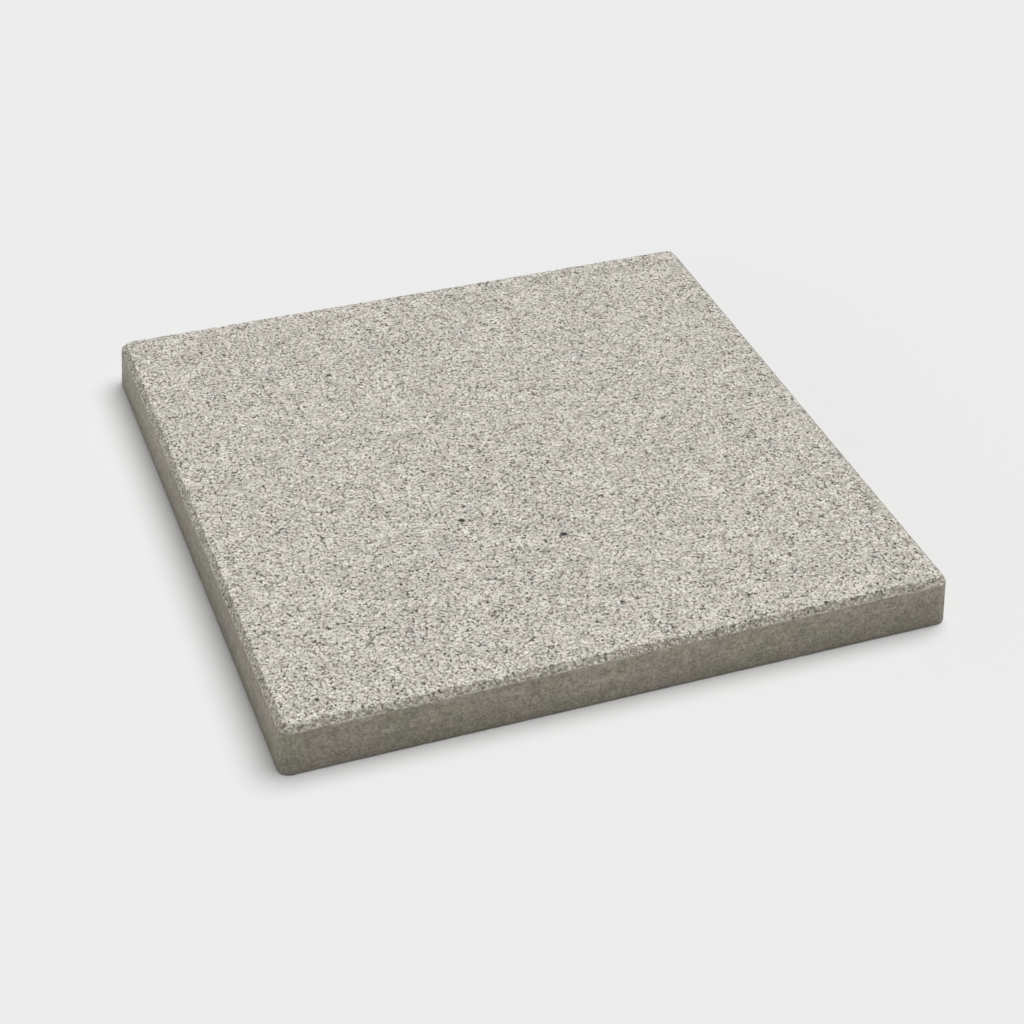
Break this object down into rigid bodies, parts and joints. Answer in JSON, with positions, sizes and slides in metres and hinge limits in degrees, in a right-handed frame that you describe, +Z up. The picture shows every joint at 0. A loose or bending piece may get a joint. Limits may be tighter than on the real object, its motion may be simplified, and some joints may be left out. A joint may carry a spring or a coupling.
{
  "type": "granite slab",
  "caption": "Square stone slab with a fine-grained granite-chip working face, a narrow 45 degree chamfer and smooth cement-skinned sides, resting flat on its underside.",
  "frame": {"origin": "middle of the underside", "axes": "+Z up, from the underside to the granite working face; +X and +Y along the sides"},
  "size_m": [0.4998, 0.4998, 0.04],
  "materials": {
    "granite_chips": "matte",
    "cement_skin": "matte"
  },
  "bodies": {
    "root": {"granite_face": "granite_chips", "concrete_backing": "cement_skin"}
  },
  "joints": []
}
